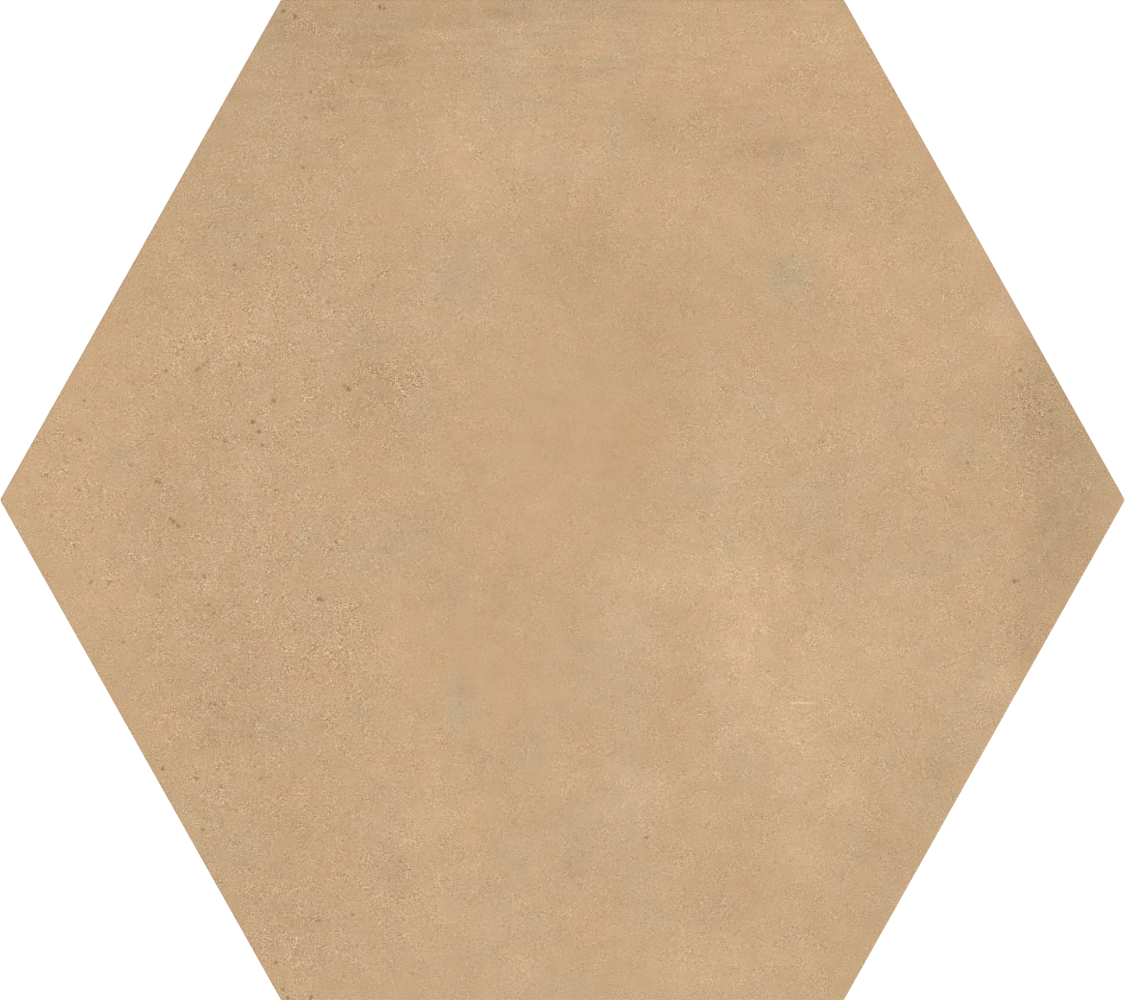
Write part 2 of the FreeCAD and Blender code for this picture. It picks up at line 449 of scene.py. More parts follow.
BLUSHES = {
    6: [(-34, 120, 4, 5), (7, 94, 4), (-16, -61, 5), (51, -63, 4, 5)],
    5.5: [(25, 52, 8, 3)],
    5: [(-14, -46, 6, 9), (95, 20, 6, 7), (47, 8, 6, 9), (100, 5, 8, 5), (20, -43, 7, 4), (-59, -93, 4, 9),
        (-10, -116, 7, 4), (78, -98, 4)],
    4.5: [(18, 18, 10, 8, 20), (-87, 44, 4, 7), (-55, 15, 11), (-24, -85, 5, 7)],
    4: [(58, 113, 24, 17), (74, 62, 9, 6), (70, 33, 14, 7), (-34, -40, 13, 6), (-100, 13, 8, 4),
        (-70, -8, 4, 8), (-19, 114, 6, 5), (7, 117, 6, 4), (73, 84, 2.5, 4), (92, 39, 4, 5),
        (118, -8, 4, 10), (108, -23, 11, 5), (-32, -103, 5, 4), (-30, -115, 4), (-39, -28, 6),
        (-70, 27, 3, 6)],
    3.5: [(95, 0, 9, 4), (25, 105, 11, 3), (-45, 75, 6, 11), (8, -62, 7, 6), (-75, -6, 4, 5)],
    3: [(82, 96, 10, 16), (30, 77, 10, 6), (42, 78, 5), (32, 40, 10, 4), (46, -100, 9, 5), (-73, 33, 5),
        (-118, 45, 8, 10), (-48, 3, 11, 4), (-110, 32, 7, 5), (53, 90, 6, 5), (-42, 28, 4, 6)],
    2.5: [(0, 10, 22, 16, 40), (-8, -8, 15, 13), (7, -111, 12, 9), (-125, 15, 17, 24),
        (-60, -45, 12, 18, 30), (-68, -75, 14, 6), (-32, -41, 10, 9), (-32, -59, 8, 6), (-24, 13, 9),
        (97, 70, 8, 5), (39, -63, 4, 5)],
    2.4: [(112, 18, 4, 5)],
    2.2: [(77, 52, 13, 11), (43, 41, 11, 9), (-38, 55, 6, 5), (100, -9, 5), (123, 4, 5)],
    2: [(-113, -28, 14, 16), (-45, -65, 14), (32, -63, 7, 18), (0, 75, 16, 7), (40, 108, 9), (-102, 68, 5),
        (-65, -28, 5), (-37, -121, 6, 5)],
    1.8: [(79, 106, 5, 6), (-96, 15, 6, 5), (-65, 15, 12, 4), (12, -122, 6, 4), (66, -113, 8),
        (35, 23, 4, 9), (56, -9, 6, 4), (-68, 73, 4)],
    1.6: [(-102, -62, 7, 6), (5, -98, 10, 4)],
    1.5: [(-25, 25, 12), (-104, -57, 10, 12), (-30, 88, 14, 10)],
    1: [(0, 30, 24), (55, -25, 25, 20)],
    -1.2: [(-85, -48, 22, 16)],
    -1.3: [(-56, 41, 9, 12)],
    -1.6: [(-33, 28, 5, 4)],
    -1.7: [(-34, -36, 8, 7), (-21, -119, 7, 6), (39, 42, 6, 7), (47, 11, 6, 5), (76, -10, 10, 5, -20),
        (122, 15, 5, 6), (-6, 82, 5, 6)],
    -1.8: [(-41, 99, 6, 5), (-56, 5, 6), (128, -23, 4, 6)],
    -1.9: [(-71, 31, 5, 4)],
    -2: [(-90, 75, 10, 15), (-20, 118, 14, 8), (-60, -88, 4, 10), (-77, 70, 5, 4), (-61, -63, 5),
        (44, -73, 5, 4), (105, -62, 6, 5), (-50, -80, 5, 4), (97, 70, 6, 4), (17, 108, 4, 7)],
    -2.2: [(-34, -86, 6, 5), (107, 9)],
    -2.3: [(-72, 95, 30), (-70, 45, 30)],
    -2.4: [(93, -86, 5, 6)],
    -2.5: [(75, 12, 8), (66, 115, 8, 5)],
    -2.6: [(-95, -85, 18, 22), (-55, -113, 34, 12), (-52, -23, 7, 6)],
    -2.8: [(-80, -3, 32, 24)],
    -3: [(-81, 99, 12, 5), (-86, 67, 5, 6), (123, 34, 6), (22, 28, 6, 4), (-66, -11, 3, 5), (8, -40, 10, 4),
        (100, -55, 10, 8), (-45, -83, 12, 4), (38, -48, 5, 8), (20, 118, 10, 3), (-5, 89, 4, 8),
        (61, 113, 4, 3), (58, 78, 3, 9), (-37, 90, 3), (-24, 52, 7, 3), (-41, 46, 4, 9), (-52, -15, 8, 5),
        (-13, -90, 4, 5), (61, -5, 5, 11), (91, -36, 5), (66, -57, 4, 5), (84, -67, 4, 5), (71, -103, 3, 4),
        (-45, -97, 5, 7), (24, -42, 5, 9, 10)],
    -3.2: [(60, 58, 4, 7)],
    -3.5: [(3, -88, 7, 8), (103, 12, 6, 22), (120, -20, 8, 16), (82, -100, 8, 12), (60, -112, 6, 5),
        (-83, -90, 9)],
    -3.6: [(-28, -57, 5)],
    -4: [(-48, 122, 22, 7), (-76, 120, 9), (8, 127, 14, 4), (-8, 66, 9, 3), (16, 122, 3, 8), (74, 84, 6, 4),
        (82, 74, 6, 4), (100, 71, 8, 3), (37, 35, 6, 5), (27, 49, 6, 3), (53, 24, 6), (-52, -52),
        (3, 84, 8, 4), (8, 92, 6, 4), (14, 95, 4, 12), (-11, -93, 6, 8), (42, -12, 5, 6), (69, 0, 13, 8),
        (90, -18, 20, 9), (74, -88, 5, 10), (132, 5, 14, 24), (22, -108, 9, 5), (43, -105, 7, 5),
        (-12, -112, 12, 10), (-25, -102, 14, 4), (-11, 101, 15, 3.5), (33, 120, 5, 3), (51, 98, 3),
        (66, 46, 3, 6), (-60, 18, 9, 6), (-51, 41, 4), (-121, -4, 4, 2.5), (-92, -18, 4), (-52, -57, 5, 4),
        (-2, -39, 5, 3), (6, -49, 3, 5), (-8, -64, 4, 6), (5, -83, 5, 8), (41, -62, 3, 9), (38, 26, 4),
        (102, -10, 5), (69, -23, 6, 3), (108, -46, 10, 11), (51, -121, 3, 7), (-32, -121, 6, 4)],
    -4.5: [(51, -65, 11, 8), (-111, -16, 5, 9), (-70, -59, 11, 9), (17, -31, 6), (20, -98, 5, 8),
        (4, -98, 7, 5), (115, 18, 5, 8), (61, -77, 4, 5)],
    -5: [(57, 89, 4, 6), (69, 77, 4, 8, -30), (73, 43, 5, 6), (16, -45, 9, 13), (17, -75, 8, 22),
        (-15, -64, 7, 4), (41, 4, 9, 8), (99, -65, 13, 5), (95, -77, 8, 6), (-1, 121, 9, 6), (79, 86, 6, 3),
        (-39, 23, 8), (-68, -10, 3, 9), (-42, -10, 9, 8), (-65, -31, 5, 8), (-113, 10, 4), (-47, -75, 7, 3),
        (30, 5, 3, 4), (91, 21, 6, 8)],
    -6: [(12, 112, 7, 3), (-1, -124, 11, 4)],
    -7: [(91, 0, 6, 3)],
}
PINK_BLUSHES = {
    2.4: [(53, 92, 8, 4)],
    2: [(-10, 125, 4), (122, 18, 7, 9)],
    1.8: [(-65, 118, 14, 8), (-73, 105, 8, 6), (-76, -40, 8), (-17, -72, 4, 5)],
    1.6: [(-92, -38, 6, 8), (25, 127, 6, 3), (-19, 45, 9, 4), (-71, -44, 8, 4, 20)],
    1.5: [(-80, 97, 5, 4)],
    1.4: [(-68, 73, 4), (11, -23, 5, 4), (-68, -6, 4)],
    1.3: [(-110, -8, 4, 9), (-113, 37, 5, 4), (50, 50, 4)],
    1.2: [(-18, 109, 4, 6), (15, 118, 7, 6), (52, 36, 10, 9), (120, -6, 12, 7), (-84, 68, 5, 6),
        (-44, 0, 6), (68, 103, 6, 4), (23, 82, 5, 4), (-42, 54, 5), (-42, -13, 3, 6), (-96, 15, 5),
        (-95, -52, 5, 4), (-2, -55, 6, 4)],
    1.1: [(-48, -90, 8), (20, 116, 5), (15, 46, 5, 4), (29, -13, 5)],
    1: [(50, 78, 7, 11), (8, 15, 14, 11, 30), (-68, -8, 4, 6), (43, 70, 8, 6), (118, -36, 5),
        (-111, -8, 4, 8), (-3, -112, 5, 6)],
    0.9: [(-8, -6, 16, 12), (-19, -20, 4, 10), (-6, 42, 4, 12)],
    0.8: [(12, 50, 10, 6), (-30, -68, 8, 6)],
    -0.7: [(40, -15, 28, 10)],
    -0.9: [(-107, 47, 10, 14), (-118, 15, 14, 9), (-54, 33, 10, 8, 30)],
    -1: [(17, 95, 4, 12), (-25, 23, 9, 4), (58, 10, 7, 6)],
    -1.1: [(65, -88, 7, 20), (74, 44, 6, 10, 20), (92, -84, 6), (48, -80, 5, 9)],
    -1.2: [(-6, 81, 6, 5), (110, 8, 5, 7), (43, -5, 5), (31, -68, 4, 5), (-33, -86, 6, 5)],
    -1.3: [(122, 15, 5, 6), (-40, -66, 6)],
    -1.4: [(5, 26, 15, 5), (64, -27, 6, 4)],
    -1.5: [(40, 44, 5, 6), (-50, -22, 6, 5)],
    -1.6: [(64, 115, 7, 4)],
    -1.7: [(59, 57, 5, 6)],
}
# Each stain: a dab's five numbers, and then its lightness and its warmth
STAINS = [
    (-30, 57, 5, 5, 0, -1, -8), (-25, 59, 13, 13, 0, 0, -4), (58, 57, 5.5, 7, 0, -1, -10),
    (56.5, 57, 3, 4, 0, -3, -3), (-27, -52, 4.5, 7, 0, -1, -12), (-17, 110, 5, 6, 0, 0, -8),
    (-16, 111, 14, 14, 0, 0, -3.5), (-11, 128, 5, 3, 0, -2, -12), (115, 51, 3, 4, 0, 0, -7),
    (-28, -23, 4, 4, 0, -1, -4), (57, 89, 3, 3, 0, 0, -3),
]

# Patches of grain are dabs too. Their strength is the share by which the grain is stronger or weaker.
GRAIN_PATCHES = {
    0.6: [(122, 22, 12, 20, -20), (-65, 125, 8, 6)],
    0.52: [(-75, -30, 36, 40)],
    0.5: [(-42, 31, 12), (118, -32, 9, 14, 20), (-132, 14, 12, 14), (-122, -10, 12, 8), (123, 28, 5),
        (111, -57, 6, 5)],
    0.48: [(-80, 45, 38, 55)],
    0.4: [(-60, -38, 14, 12), (-66, 18, 5, 6), (-70, -118, 16, 10), (-42, 27, 6, 8), (-72, -115, 14, 10)],
    0.38: [(-85, -85, 40, 35)],
    0.35: [(69, 15, 5)],
    0.3: [(-45, -100, 14)],
    0.2: [(-95, 42, 8, 10)],
    -0.15: [(70, 30, 14, 10)],
    -0.2: [(28, 104, 30, 8), (0, 0, 40, 90)],
    -0.25: [(45, 60, 16, 14)],
    -0.3: [(-6, -85, 12), (14, -117, 12), (-45, 8, 14, 4)],
    -0.35: [(0, -50, 14), (-82, 65, 6, 16), (-83, -58, 5, 8), (-42, -28, 7, 14)],
    -0.4: [(-80, -20), (-38, 112, 6, 14)],
    -0.45: [(-85, 90, 6, 8)],
    -0.5: [(5, 20, 24, 32, -30), (-25, -42, 18, 20), (-47, 82, 6, 24)],
}

# %% Airbrush the dabs onto the mesh
WANDER = 1.2
WANDER_SIZE = 18.0
FINE_WANDER = 1.6
FINE_WANDER_SIZE = 5.0
DAB_FALLOFF = 1.4
LEAST_GRAIN = 0.35


def wander(x, y, size, layer):
    """A smooth random shift for each place, in steps of about a size. Layers differ."""
    shifts = [noise.noise_vector(Vector((a / size, b / size, layer))) for a, b in zip(x, y)]
    return np.array([(shift.x, shift.y) for shift in shifts]).T


def dab(x, y, centre_x, centre_y, half_length=7, half_width=None, turn=0):
    """How much of one soft dab lands on each place: 1 in its middle, about a quarter at its rim."""
    half_width = half_width or half_length
    c, s = math.cos(math.radians(turn)), math.sin(math.radians(turn))
    along = (c * (x - centre_x) + s * (y - centre_y)) / half_length
    across = (c * (y - centre_y) - s * (x - centre_x)) / half_width
    return np.exp(-DAB_FALLOFF * (along**2 + across**2))


def airbrush(x, y, dabs):
    """The sum at each place of all dabs, which are given by their strength."""
    return sum(strength * dab(x, y, *where) for strength, places in dabs.items() for where in places)


points = np.array([v.co for v in tile.data.vertices]) / MM
ragged = points[:, :2].T + FINE_WANDER * wander(points[:, 0], points[:, 1], FINE_WANDER_SIZE, layer=50)
cloudy = ragged + WANDER * wander(points[:, 0], points[:, 1], WANDER_SIZE, layer=0)

lightness, warmth, pinkness, coarseness = [
    airbrush(*cloudy, dabs) for dabs in (CLOUDS, BLUSHES, PINK_BLUSHES, GRAIN_PATCHES)
]
for *where, lighter, warmer in STAINS:
    stain = dab(*ragged, *where)
    lightness += lighter * stain
    warmth += warmer * stain
coarseness = np.clip(1 + coarseness, LEAST_GRAIN, None)

tones = tile.data.attributes.new("print_tones", "FLOAT_VECTOR", "POINT")
tones.data.foreach_set("vector", np.column_stack([lightness, warmth, pinkness]).ravel())
grains = tile.data.attributes.new("print_grain", "FLOAT", "POINT")
grains.data.foreach_set("value", coarseness)
laid = {"lightness": lightness, "warmth": warmth, "pinkness": pinkness, "coarseness": coarseness}
for name, values in laid.items():
    print(f"{name} runs from {values.min():.1f} to {values.max():.1f}")

# %% [markdown]
# ## Small tools for nodes
#
# A material is a tree of nodes. Added one by one in a script, forty nodes are hard to read, so these helpers
# let a line of code read like the sum it does. A source is either a plain value or another node's output.

# %% Helpers for nodes


def put(tree, kind, **settings):
    """Adds a shader node of a kind and gives it its settings."""
    node = tree.nodes.new("ShaderNode" + kind)
    for name, value in settings.items():
        setattr(node, name, value)
    return node


def feed(tree, socket, source):
    """Links a node's output to a socket, or sets the socket to a plain value."""
    if isinstance(source, bpy.types.NodeSocket):
        tree.links.new(source, socket)
    else:
        socket.default_value = source


def calc(tree, operation, *sources):
    """A Math node's result."""
    node = put(tree, "Math", operation=operation)
    for socket, source in zip(node.inputs, sources):
        feed(tree, socket, source)
    return node.outputs["Value"]


def add(tree, *sources):
    """The sum of any number of values."""
    total = sources[0]
    for source in sources[1:]:
        total = calc(tree, "ADD", total, source)
    return total


def vector_calc(tree, operation, *sources, result="Vector"):
    """A Vector Math node's result."""
    node = put(tree, "VectorMath", operation=operation)
    for socket, source in zip(node.inputs, sources):
        feed(tree, socket, source)
    return node.outputs[result]


def ramp(tree, value, start, end):
    """0 where a value is below start, 1 where it is above end, and a smooth step between them."""
    node = put(tree, "MapRange", interpolation_type="SMOOTHSTEP")
    feed(tree, node.inputs["Value"], value)
    node.inputs["From Min"].default_value = start
    node.inputs["From Max"].default_value = end
    return node.outputs["Result"]


def fade(tree, value, start, end):
    """1 where a value is below start, 0 where it is above end, and a smooth step between them."""
    return calc(tree, "SUBTRACT", 1.0, ramp(tree, value, start, end))


def about_zero(tree, value, strength):
    """Turns a noise, which runs from 0 to 1, into a shift that runs from minus to plus half a strength."""
    return calc(tree, "MULTIPLY_ADD", value, strength, -strength / 2)


def blend(tree, kind, share, first, second):
    """A blend of two sources. The kind is RGBA for colours and FLOAT for values."""
    node = put(tree, "Mix", data_type=kind)
    feed(tree, node.inputs[0], share)
    feed(tree, node.inputs["A"], first)
    feed(tree, node.inputs["B"], second)
    return node.outputs["Result"]


def coordinate(tree, place, axis):
    """One of a place's three coordinates."""
    node = put(tree, "SeparateXYZ")
    feed(tree, node.inputs["Vector"], place)
    return node.outputs[axis]


def layer_of(tree, place, layer):
    """The place moved up through the noise, so that each texture gets a pattern of its own."""
    return vector_calc(tree, "ADD", place, (0, 0, layer))


def noise_at(tree, place, size, layer, detail=0.0, roughness=0.5):
    """A Noise Texture with lumps of a given size in mm. Returns its outputs."""
    node = put(tree, "TexNoise")
    feed(tree, node.inputs["Vector"], layer_of(tree, place, layer))
    node.inputs["Scale"].default_value = 1 / size
    node.inputs["Detail"].default_value = detail
    node.inputs["Roughness"].default_value = roughness
    return node.outputs


def new_group(name, inputs, outputs):
    """A node group, with its input and output nodes. Sockets are given as name and kind."""
    tree = bpy.data.node_groups.new(name, "ShaderNodeTree")
    for socket, kind in inputs:
        tree.interface.new_socket(socket, in_out="INPUT", socket_type="NodeSocket" + kind)
    for socket, kind in outputs:
        tree.interface.new_socket(socket, in_out="OUTPUT", socket_type="NodeSocket" + kind)
    entry = tree.nodes.new("NodeGroupInput")
    leave = tree.nodes.new("NodeGroupOutput")
    return tree, entry.outputs, leave.inputs


def use_group(tree, group, **sources):
    """Places a node group in a tree, feeds its inputs and returns its outputs."""
    node = put(tree, "Group", node_tree=group)
    for name, source in sources.items():
        feed(tree, node.inputs[name], source)
    return node.outputs


# %% [markdown]
# ## Effects that both finishes share
#
# The tile has two finishes: the printed face, and the bare fired body that shows on the lower wall and the
# back. Both are mineral, so both have a sandy grain, a soft mottling and specks. Each effect is a node group
# with named inputs, built once and used in both with other values.
#
# The grain is two fine noises, and its strength comes and goes over a few millimetres, as sand does. The
# mottling takes three patterns from one coloured noise. A speck is a dot about a Voronoi point, and only
# some points get one.

# %% Sandy grain
PATCH_SIZE = 3.0
PATCH_CONTRAST = 1.6
COARSE_SIZE = 0.75
COARSE_STRENGTH = 12.4
FINE_SIZE = 0.36
FINE_STRENGTH = 80.0

grain_group, given, made = new_group(
    "sandy_grain", [("Place", "Vector"), ("Strength", "Float")], [("Grain", "Float")]
)
patchy = noise_at(grain_group, given["Place"], PATCH_SIZE, layer=11, detail=1)["Fac"]
# A noise lies about 0.5, so twice the noise lies about 1
patchy = calc(grain_group, "POWER", add(grain_group, patchy, patchy), PATCH_CONTRAST)
coarse = noise_at(grain_group, given["Place"], COARSE_SIZE, layer=0, detail=1, roughness=0.7)["Fac"]
coarse = about_zero(grain_group, coarse, COARSE_STRENGTH)
fine = noise_at(grain_group, given["Place"], FINE_SIZE, layer=23, detail=1)["Fac"]
fine = about_zero(grain_group, fine, FINE_STRENGTH)
both = calc(grain_group, "MULTIPLY", add(grain_group, coarse, fine), patchy)
feed(grain_group, made["Grain"], calc(grain_group, "MULTIPLY", both, given["Strength"]))

# %% Soft mottling
MOTTLE_SIZE = 6.0
MOTTLE_STRENGTHS = {"Lightness": 15.5, "Warmth": 10.5, "Pinkness": 8.0}

mottle_group, given, made = new_group(
    "soft_mottling",
    [("Place", "Vector"), ("Strength", "Float")],
    [(name, "Float") for name in MOTTLE_STRENGTHS],
)
lumps = noise_at(mottle_group, given["Place"], MOTTLE_SIZE, layer=37, detail=2, roughness=0.65)
parts = put(mottle_group, "SeparateColor")
feed(mottle_group, parts.inputs["Color"], lumps["Color"])
for (name, strength), part in zip(MOTTLE_STRENGTHS.items(), parts.outputs):
    shift = about_zero(mottle_group, part, strength)
    feed(mottle_group, made[name], calc(mottle_group, "MULTIPLY", shift, given["Strength"]))

# %% Specks
SPECK_CORE = 0.5

speck_group, given, made = new_group(
    "specks",
    [("Place", "Vector"), ("Spacing", "Float"), ("Radius", "Float"), ("Share", "Float")],
    [("Mask", "Float")],
)
cells = put(speck_group, "TexVoronoi", voronoi_dimensions="3D")
feed(speck_group, cells.inputs["Vector"], given["Place"])
feed(speck_group, cells.inputs["Scale"], calc(speck_group, "DIVIDE", 1.0, given["Spacing"]))
away = calc(speck_group, "MULTIPLY", cells.outputs["Distance"], given["Spacing"])
share_of_radius = calc(speck_group, "DIVIDE", away, given["Radius"])
dot = fade(speck_group, share_of_radius, SPECK_CORE, 1.0)
chance = put(speck_group, "SeparateColor")
feed(speck_group, chance.inputs["Color"], cells.outputs["Color"])
chosen = calc(speck_group, "LESS_THAN", chance.outputs[0], given["Share"])
feed(speck_group, made["Mask"], calc(speck_group, "MULTIPLY", dot, chosen))

# %% [markdown]
# ## From shifts to a colour
#
# All patterns are kept as shifts: lighter, warmer, pinker, in steps of a screen's 255. This group adds them
# to a base colour, with the share of red, green and blue that each one moves, and then takes the sum from
# screen values to the linear light that a shader wants, which a Gamma node of 2.2 does.

# %% Paint colour
SCREEN_STEPS = 255.0
SCREEN_GAMMA = 2.2
SHIFT_SHARES = {
    "Lightness": (1.05, 0.99, 0.98),
    "Warmth": (0.48, -0.14, -0.52),
    "Pinkness": (0.71, -0.29, 0.71),
    "Grain": (0.88, 1.03, 1.10),
}

paint_group, given, made = new_group(
    "paint_colour", [("Base", "Vector")] + [(name, "Float") for name in SHIFT_SHARES], [("Colour", "Color")]
)

shifted = given["Base"]
for name, shares in SHIFT_SHARES.items():
    amounts = put(paint_group, "CombineXYZ")
    for socket in amounts.inputs:
        feed(paint_group, socket, given[name])
    shift = vector_calc(paint_group, "MULTIPLY", amounts.outputs["Vector"], shares)
    shifted = vector_calc(paint_group, "ADD", shifted, shift)
screen = vector_calc(paint_group, "SCALE", shifted)
screen.node.inputs["Scale"].default_value = 1 / SCREEN_STEPS
gamma = put(paint_group, "Gamma")
feed(paint_group, gamma.inputs["Color"], screen)
gamma.inputs["Gamma"].default_value = SCREEN_GAMMA
feed(paint_group, made["Colour"], gamma.outputs["Color"])

# %% [markdown]
# ## The fired body
#
# Under the print the porcelain is plain buff clay, fired until it is dense. It has the sandy grain, tiny
# dark iron specks and a soft mottling, and it is rougher than the face. The body is a group of its own,
# because the wall below the glaze line shows it too.

# %% Fired clay
CLAY_COLOUR = (201.0, 182.0, 155.0)
IRON_DARKENING = -34.0

clay_group, given, made = new_group(
    "fired_clay", [("Place", "Vector")], [("Colour", "Color"), ("Grain", "Float")]
)
clay_grain = use_group(clay_group, grain_group, Place=given["Place"], Strength=0.8)["Grain"]
clay_mottle = use_group(clay_group, mottle_group, Place=given["Place"], Strength=1.3)
iron = use_group(
    clay_group, speck_group, Place=given["Place"], Spacing=2.2, Radius=0.22, Share=0.3
)["Mask"]
clay_paint = use_group(
    clay_group, paint_group, Base=CLAY_COLOUR,
    Grain=calc(clay_group, "MULTIPLY_ADD", iron, IRON_DARKENING, clay_grain),
    **{name: clay_mottle[name] for name in MOTTLE_STRENGTHS},
)
feed(clay_group, made["Colour"], clay_paint["Colour"])
feed(clay_group, made["Grain"], clay_grain)

# %% Helpers for materials


def new_material(name, gloss):
    """A material with its node tree and its Principled shader, and the place on the piece in mm."""
    material = bpy.data.materials.new(name)
    material.use_nodes = True
    tree = material.node_tree
    shader = tree.nodes["Principled BSDF"]
    shader.inputs["Specular IOR Level"].default_value = gloss
    place = vector_calc(tree, "SCALE", put(tree, "TexCoord").outputs["Object"])
    place.node.inputs["Scale"].default_value = 1 / MM
    return material, tree, shader, place


def add_bump(tree, shader, grain, height):
    """Raises the light grains and sinks the dark ones, by height in metres for each screen step."""
    bump = put(tree, "Bump")
    bump.inputs["Distance"].default_value = 1.0
    feed(tree, bump.inputs["Height"], calc(tree, "MULTIPLY", grain, height))
    feed(tree, shader.inputs["Normal"], bump.outputs["Normal"])


# %% [markdown]
# ## The print, part two: the face
#
# Now the face itself. The airbrushed layers come in through Attribute nodes, and the groups add what is too
# fine for the mesh. The specks that stand out have places of their own, as the clouds do: a chain of Minimum
# nodes gives the distance to the nearest of them, and a noise makes each one ragged. Two thin pale scuffs
# are made from the distance along and across a line. Small specks are sown where the grain is coarse, and
# pale crumbs where the print is light. A noise breaks up the clouds' soft edges, and long thin streaks run
# along the top side.
#
# The print wraps over the arris and ends on the wall in a ragged line, with the bare body below it.

# %% Where the specks and scuffs are
# The specks were picked in the photograph, so their places are in its pixels: across and down. These stand
# by their radius in pixels.
PHOTO_WIDTH = 1125
PHOTO_HEIGHT = 1000
SPECK_REACH = 0.625
SPECKS_BY_RADIUS = {
    2.6: [(320, 599)],
    2.4: [(348, 389)],
    1.8: [(174, 522)],
    1.7: [(91, 582), (204, 576), (283, 12)],
    1.6: [(178, 526), (163, 768), (352, 914), (283, 989), (303, 168)],
    1.5: [(646, 837)],
    1.4: [(345, 386), (225, 441), (166, 371), (46, 475), (75, 546), (209, 605), (276, 962), (235, 266),
        (373, 286), (1014, 581), (1050, 411)],
    1.3: [(197, 370), (1020, 371)],
    1.2: [(262, 445), (80, 440), (131, 465), (123, 642), (261, 778), (221, 786), (384, 9), (311, 93)],
    1.1: [(200, 368), (171, 519), (277, 490), (254, 531), (309, 538), (80, 490), (319, 920), (306, 118),
        (351, 82), (328, 302)],
    1: [(204, 365), (156, 482), (265, 595), (205, 335)],
    0.9: [(207, 362), (160, 482), (1018, 581)],
}
# These were set one by one with the render beside them, and stand by how deep they lie in mm.
SPECKS_BY_DEPTH = {
    0.9: [(294, 629)],
    0.8: [(345, 738)],
    0.75: [(400, 862)],
    0.72: [(324, 248)],
    0.7: [(297, 268), (1103, 484)],
    0.68: [(313, 677)],
    0.67: [(283, 598)],
    0.66: [(214, 613), (251, 735), (183, 350)],
    0.65: [(262, 237)],
    0.63: [(51, 516), (333, 109)],
    0.62: [(205, 329)],
    0.61: [(85, 401)],
    0.58: [(1013, 409)],
    0.57: [(324, 600)],
    0.55: [(203, 829)],
    0.53: [(967, 463)],
    0.5: [(215, 704)],
    0.49: [(310, 180)],
    0.47: [(336, 542)],
    0.45: [(211, 704)],
    0.44: [(109, 582)],
    0.42: [(197, 778), (380, 8)],
    0.4: [(240, 365)],
    0.38: [(274, 401)],
    0.35: [(259, 432), (288, 997)],
    0.34: [(348, 698)],
    0.3: [(311, 997)],
    0.26: [(253, 422)],
    0.2: [(295, 17)],
}
# Each scuff: its centre, its half length and half width in mm, and how much lighter it is. It keeps its full
# strength for a fifth of the way out.
SCUFF_CORE = 0.2
SCUFFS = [((61.6, -52.3, 0), 5.3, 0.4, 25.0), ((-67.7, 18.1, 0), 7.7, 0.35, 6.0)]

# %% Helpers for marks


def speck_at(across, down, depth):
    """A speck's place in mm. The deeper it lies below the face, the smaller it shows."""
    x = (across / PHOTO_WIDTH - 0.5) * ACROSS_POINTS / MM
    y = (0.5 - down / PHOTO_HEIGHT) * across_flats / MM
    return x, y, -depth


def depth_for(radius):
    """How deep in mm a speck lies that shows with a radius given in pixels."""
    shown = radius * across_flats / MM / PHOTO_HEIGHT
    return math.sqrt(max(SPECK_REACH**2 - shown**2, 0))


def laid_on_mesh(tree, attribute):
    """The outputs of what was airbrushed onto the mesh."""
    return put(tree, "Attribute", attribute_type="GEOMETRY", attribute_name=attribute).outputs


def speck_distance(tree, flat_place, specks):
    """The distance in mm to the nearest speck."""
    nearest = None
    for speck in specks:
        away = vector_calc(tree, "DISTANCE", flat_place, speck, result="Value")
        nearest = away if nearest is None else calc(tree, "MINIMUM", nearest, away)
    return nearest


def scuff_mask(tree, flat_place, centre, half_length, half_width):
    """1 on the middle of a thin streak along X, fading to 0 round it."""
    from_centre = vector_calc(tree, "SUBTRACT", flat_place, centre)
    scaled = vector_calc(tree, "DIVIDE", from_centre, (half_length, half_width, 1))
    return fade(tree, vector_calc(tree, "LENGTH", scaled, result="Value"), SCUFF_CORE, 1.0)


# %% Start the printed face
FACE_COLOUR = (194.9, 161.6, 123.1)
FACE_GLOSS = 0.35

face_material, tree, shader, place = new_material("printed_face", FACE_GLOSS)
tones = put(tree, "SeparateXYZ")
feed(tree, tones.inputs["Vector"], laid_on_mesh(tree, "print_tones")["Vector"])
laid_lightness, laid_warmth, laid_pinkness = tones.outputs
laid_coarseness = laid_on_mesh(tree, "print_grain")["Fac"]

face_grain = use_group(tree, grain_group, Place=place, Strength=laid_coarseness)["Grain"]
face_mottle = use_group(tree, mottle_group, Place=place, Strength=1.0)

# %% Specks, crumbs and scuffs
dark_specks = [speck_at(*spot, depth_for(radius)) for radius in SPECKS_BY_RADIUS
               for spot in SPECKS_BY_RADIUS[radius]]
dark_specks += [speck_at(*spot, depth) for depth in SPECKS_BY_DEPTH for spot in SPECKS_BY_DEPTH[depth]]

CRUMBLING = 0.5
HAND_SPECK_EDGE = (0.6, 1.15)
HAND_SPECK_DARKENING = -42.0
SPECKED_GRAIN = (0.9, 1.7)
SOWN_SPECK_DARKENING = -24.0
CRUMBED_LIGHTNESS = (0.0, 8.0)
CRUMB_LIGHTENING = 16.0

flat_place = vector_calc(tree, "MULTIPLY", place, (1, 1, 0))
crumbling = noise_at(tree, place, size=0.9, layer=71)["Fac"]
to_speck = calc(tree, "MULTIPLY_ADD", crumbling, CRUMBLING, speck_distance(tree, flat_place, dark_specks))
face_marks = calc(tree, "MULTIPLY", fade(tree, to_speck, *HAND_SPECK_EDGE), HAND_SPECK_DARKENING)

